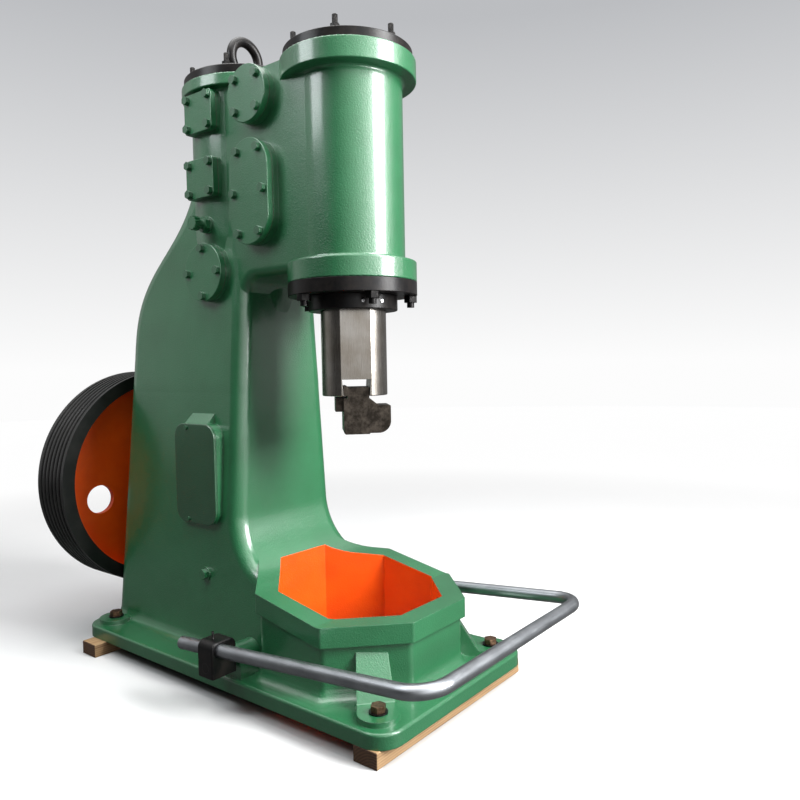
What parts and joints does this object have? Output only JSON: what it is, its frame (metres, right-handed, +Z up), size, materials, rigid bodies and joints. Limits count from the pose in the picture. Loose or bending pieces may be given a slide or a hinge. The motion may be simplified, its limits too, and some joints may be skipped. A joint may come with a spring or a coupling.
{
  "type": "power hammer",
  "caption": "Self-contained air forging hammer: cast column with two cylinders, guided ram and top die, belt pulley drive and a treadle round the open anvil well.",
  "frame": {"origin": "on the ram's axis at floor level, under the skids", "axes": "+X to the machine's front, towards the smith; +Z up; the side covers face -Y"},
  "size_m": [1.748, 0.86, 2.0805],
  "materials": {
    "green_paint": "semi-gloss machine enamel over a rough casting",
    "black_paint": "semi-gloss black enamel",
    "pulley_paint": "orange web and well colour, black rim",
    "bolt_steel": "blackened steel fasteners",
    "bright_steel": "ground steel",
    "bar_steel": "drawn steel, dull",
    "die_steel": "dark scaled tool steel",
    "forged_steel": "forged and machined",
    "spring_steel": "oiled spring wire",
    "cast_iron": "machined grey iron",
    "bronze": "bearing bronze",
    "packing": "greased braid and felt",
    "gasket": "pressed fibre gasket sheet",
    "timber": "rough sawn hardwood"
  },
  "bodies": {
    "frame": {"frame_casting": "green_paint", "front_cylinder_cover": "black_paint", "rear_cylinder_cover": "black_paint", "cylinder_cover_gaskets": "gasket", "cover_studs": "bolt_steel", "cover_nuts": "bolt_steel", "lifting_eye": "black_paint", "upper_round_cover": "green_paint", "oblong_cover": "green_paint", "square_covers": "green_paint", "lower_round_cover": "green_paint", "side_cover_gaskets": "gasket", "side_cover_bolts": "green_paint", "crankcase_covers": "green_paint", "crankcase_cover_screws": "green_paint", "gland_flange": "black_paint", "gland_hub": "black_paint", "gland_studs_nuts": "bolt_steel", "gland_screws": "bolt_steel", "ram_guide_bush": "bronze", "ram_packing": "packing", "bearing_housing": "green_paint", "crankshaft_bushes": "bronze", "bearing_housing_bolts": "green_paint", "shaft_seal": "packing", "oil_fitting": "green_paint", "drain_plug": "green_paint", "valve_caps": "green_paint", "valve_cap_screws": "green_paint", "spring_hook": "bright_steel", "front_skid": "timber", "rear_skid": "timber", "base_bolts": "bolt_steel", "base_washers": "bolt_steel", "treadle_pivot_pins": "bright_steel", "return_spring": "spring_steel"},
    "ram": {"ram": "bright_steel", "ram_piston_rings": "cast_iron", "top_die": "die_steel", "die_key": "die_steel"},
    "compressor_piston": {"compressor_piston": "cast_iron", "compressor_piston_rings": "cast_iron", "gudgeon_pin": "bright_steel"},
    "connecting_rod": {"connecting_rod": "forged_steel", "big_end_cap": "forged_steel", "big_end_bolts": "bolt_steel", "big_end_bush": "bronze", "small_end_bush": "bronze", "crank_pin": "bright_steel"},
    "crank": {"crankshaft": "forged_steel", "pulley": "pulley_paint", "pulley_key": "bright_steel", "pulley_end_plate": "bolt_steel"},
    "treadle": {"treadle_bar": "bar_steel", "treadle_clamps": "black_paint", "treadle_set_screws": "bolt_steel", "treadle_link_lug": "bar_steel"},
    "push_rod": {"push_rod": "bar_steel"},
    "lower_valve": {"lower_valve": "cast_iron"},
    "upper_valve": {"upper_valve": "cast_iron"}
  },
  "joints": [
    {"name": "ram_slide", "type": "slide", "parent": "frame", "child": "ram", "axis": [0, 0, 1], "range_m": [0, 0.28]},
    {"name": "crank_spin", "type": "hinge", "parent": "frame", "child": "crank", "pos_m": [-1, 0, 0.563], "axis": [1, 0, 0], "continuous": true},
    {"name": "piston_slide", "type": "slide", "parent": "frame", "child": "compressor_piston", "axis": [0, 0, 1], "range_m": [0, 0.22]},
    {"name": "rod_swing", "type": "hinge", "parent": "compressor_piston", "child": "connecting_rod", "pos_m": [-0.46, 0, 1.253], "axis": [1, 0, 0], "range_deg": [-7.9, 7.9]},
    {"name": "treadle_pivot", "type": "hinge", "parent": "frame", "child": "treadle", "pos_m": [-0.199, 0, 0.143], "axis": [0, 1, 0], "range_deg": [0, 6], "stiffness_Nm_per_rad": 300, "springref_deg": -14.32},
    {"name": "push_rod_swing", "type": "hinge", "parent": "treadle", "child": "push_rod", "pos_m": [-0.56, 0.4, 0.15562], "axis": [0, 1, 0], "range_deg": [-6.2, 0]},
    {"name": "lower_valve_turn", "type": "hinge", "parent": "frame", "child": "lower_valve", "pos_m": [-0.23, 0.22, 1.43], "axis": [0, 1, 0], "range_deg": [0, 11], "deforming": ["return_spring"]},
    {"name": "upper_valve_turn", "type": "hinge", "parent": "frame", "child": "upper_valve", "pos_m": [-0.23, 0.22, 1.79], "axis": [0, 1, 0], "range_deg": [0, 60]}
  ],
  "couplings": [
    {"joint": "push_rod_swing", "follows": "treadle_pivot", "ratio": -1},
    {"joint": "lower_valve_turn", "follows": "treadle_pivot", "ratio": 1.806}
  ]
}
